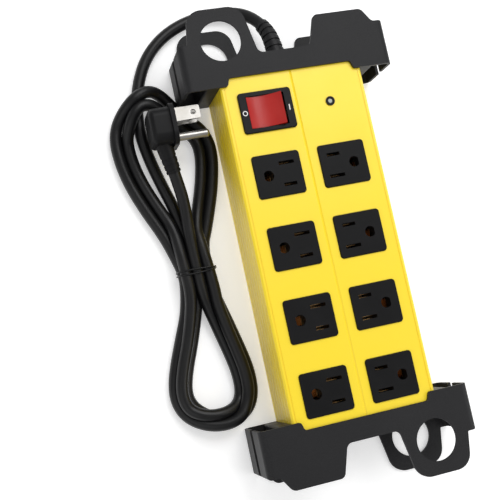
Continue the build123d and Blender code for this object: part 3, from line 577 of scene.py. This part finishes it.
ring = bmesh.new()
bmesh.ops.create_circle(ring, segments=40, radius=RING_RADIUS * MM)
extruded = bmesh.ops.extrude_edge_only(ring, edges=list(ring.edges))
inner = [v for v in extruded["geom"] if isinstance(v, bmesh.types.BMVert)]
bmesh.ops.scale(ring, verts=inner, vec=(RING_HOLE, RING_HOLE, 1))
flat = bmesh.ops.extrude_face_region(ring, geom=list(ring.faces))
risen = [v for v in flat["geom"] if isinstance(v, bmesh.types.BMVert)]
bmesh.ops.translate(ring, verts=risen, vec=(0, 0, PRINT_THICKNESS * MM))
bmesh.ops.transform(ring, matrix=on_bezel(-MARK_OFFSET), verts=ring.verts)
piece_of("switch_mark_off", ring, white_mark, "strip", smooth=False)

bar = bmesh.new()
bmesh.ops.create_cube(bar, size=1)
bar_size = Vector((BAR_WIDTH, BAR_HEIGHT, PRINT_THICKNESS)) * MM
bmesh.ops.scale(bar, verts=bar.verts, vec=bar_size)
bmesh.ops.bevel(
    bar,
    geom=[
        edge
        for edge in bar.edges
        if abs((edge.verts[0].co - edge.verts[1].co).z) > 0.5 * PRINT_THICKNESS * MM
    ],
    offset=BAR_ROUNDING * MM,
    affect="EDGES",
    segments=2,
    profile=0.5,
    material=-1,
)
raised_bar = on_bezel(MARK_OFFSET) @ Matrix.Translation((0, 0, PRINT_THICKNESS / 2 * MM))
bmesh.ops.transform(bar, matrix=raised_bar, verts=bar.verts)
piece_of("switch_mark_on", bar, white_mark, "strip", smooth=False)


# Strain relief: a tapered, ribbed sleeve that follows the cord out of the gland.
def line_of(piece):
    """Evenly read points along a curve's middle, taken from its own spline."""
    bare = piece.copy()
    bare.data = piece.data.copy()
    bare.data.bevel_depth = 0
    bare.data.use_fill_caps = False
    bpy.context.scene.collection.objects.link(bare)
    bpy.context.view_layer.update()
    graph = bpy.context.evaluated_depsgraph_get()
    thread = bpy.data.meshes.new_from_object(bare.evaluated_get(graph))
    points = [v.co.copy() for v in thread.vertices]
    spare = bare.data
    bpy.data.objects.remove(bare)
    bpy.data.curves.remove(spare)
    bpy.data.meshes.remove(thread)
    return points


def at_distance(points, distance):
    """The place and direction at a distance along a line of points."""
    for a, b in zip(points, points[1:]):
        step = (b - a).length
        if distance <= step:
            return a.lerp(b, distance / step), (b - a).normalized()
        distance -= step
    return points[-1], (points[-1] - points[-2]).normalized()


SLEEVE_START = 8.6
SLEEVE_LENGTH = 24.0
SLEEVE_RIBS = 6
THICK_END, THIN_END = 5.5, 4.2
GROOVE = 0.7
SIDES = 32

cord_line = line_of(cord)
sleeve = bmesh.new()
profile = [(0.0, CORD_RADIUS - 0.3), (0.0, THICK_END)]
rib = SLEEVE_LENGTH / SLEEVE_RIBS
for number in range(SLEEVE_RIBS):
    start = number * rib
    outer = THICK_END + (THIN_END - THICK_END) * start / SLEEVE_LENGTH
    profile += [
        (start + 0.15, outer + 0.1),
        (start + 0.62 * rib, outer),
        (start + 0.70 * rib, outer - GROOVE),
        (start + 0.96 * rib, outer - GROOVE),
    ]
profile += [(SLEEVE_LENGTH, THIN_END - GROOVE), (SLEEVE_LENGTH, CORD_RADIUS - 0.3)]
rings = []
for along, radius in profile:
    middle, ahead = at_distance(cord_line, (SLEEVE_START + along) * MM)
    across = ahead.cross(Vector((0, 0, 1))).normalized()
    over = across.cross(ahead)
    turns = [2 * pi * k / SIDES for k in range(SIDES)]
    spokes = [across * cos(angle) + over * sin(angle) for angle in turns]
    rings.append([sleeve.verts.new(middle + spoke * radius * MM) for spoke in spokes])
for near, far in zip(rings, rings[1:] + rings[:1]):
    for k in range(SIDES):
        sleeve.faces.new((near[k], near[k - 1], far[k - 1], far[k]))
sleeve_piece = piece_of(
    "gland_strain_relief", sleeve, cap_plastic, "strip", smooth=False
)

# Twist tie: two turns of thin covered wire round the waist of the bundle.
TIE_ROUTE = [
    (-65.5, -1.8, 15.6), (-68.0, -2.2, 14.9), (-73.0, -2.4, 14.8), (-80.0, -2.4, 14.4),
    (-84.1, -2.2, 12.0), (-84.3, -2.0, 7.0), (-84.1, -1.8, 2.0), (-80.5, -1.7, 0.45),
    (-73.0, -1.6, 0.4), (-65.0, -1.6, 0.45), (-61.6, -1.4, 2.2), (-61.3, -1.2, 7.0),
    (-61.6, -0.8, 12.0), (-65.0, -0.4, 14.5), (-73.0, 0.0, 14.8), (-80.0, 0.1, 14.4),
    (-84.1, 0.1, 12.0), (-84.3, 0.1, 7.0), (-84.1, 0.1, 2.0), (-80.5, 0.1, 0.45),
    (-73.0, 0.1, 0.4), (-65.0, 0.1, 0.45), (-61.6, 0.0, 2.2), (-61.3, 0.0, 7.0),
    (-61.6, -0.2, 12.0), (-64.0, -0.9, 14.9), (-65.5, -1.8, 15.3),
]
tie = smooth_line("twist_tie", TIE_ROUTE, 0.5, smooth=6)
tie.data.materials.append(cord_jacket)
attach(tie, "strip")
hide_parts("cord_tie")

# ---------------------------------------------------------------- floor and light
FLOOR_HALF = 3.0
FLOOR_DROP = 0.0002
PALE = (0.9, 0.9, 0.9, 1)
WHITE = (1, 1, 1, 1)
STRIP_MIDDLE = Vector((-0.03, 0, 0.02))

floor_shape = bmesh.new()
bmesh.ops.create_grid(floor_shape, x_segments=1, y_segments=1, size=FLOOR_HALF)
floor_mesh = bpy.data.meshes.new("floor")
floor_shape.to_mesh(floor_mesh)
floor_shape.free()
floor = bpy.data.objects.new("floor", floor_mesh)
bpy.context.scene.collection.objects.link(floor)
floor.location.z = -FLOOR_DROP
pale = bpy.data.materials.new("pale_floor")
pale.use_nodes = True
pale_shader = next(n for n in pale.node_tree.nodes if n.type == "BSDF_PRINCIPLED")
pale_shader.inputs["Base Color"].default_value = PALE
pale_shader.inputs["Roughness"].default_value = 0.9
pale_shader.inputs["Emission Color"].default_value = WHITE
pale_shader.inputs["Emission Strength"].default_value = 0.35
floor_mesh.materials.append(pale)


def soft_light(name, place, size, power):
    """A square studio light that faces the middle of the strip."""
    lamp = bpy.data.lights.new(name, "AREA")
    lamp.energy = power
    lamp.size = size
    light = bpy.data.objects.new(name, lamp)
    bpy.context.scene.collection.objects.link(light)
    light.location = place
    light.rotation_euler = (STRIP_MIDDLE - Vector(place)).to_track_quat("-Z", "Y").to_euler()


soft_light("key_light", (0.35, 0.75, 1.15), 0.9, 10.5)
soft_light("side_light", (1.0, -0.35, 0.85), 0.8, 4.6)
soft_light("fill_light", (-0.9, -0.5, 0.9), 1.2, 3.4)
sky = bpy.data.worlds.new("studio")
bpy.context.scene.world = sky
sky.use_nodes = True
daylight = sky.node_tree.nodes["Background"].inputs
daylight["Color"].default_value = WHITE
daylight["Strength"].default_value = 0.46
bpy.context.scene.view_settings.view_transform = "Standard"

bpy.context.view_layer.update()
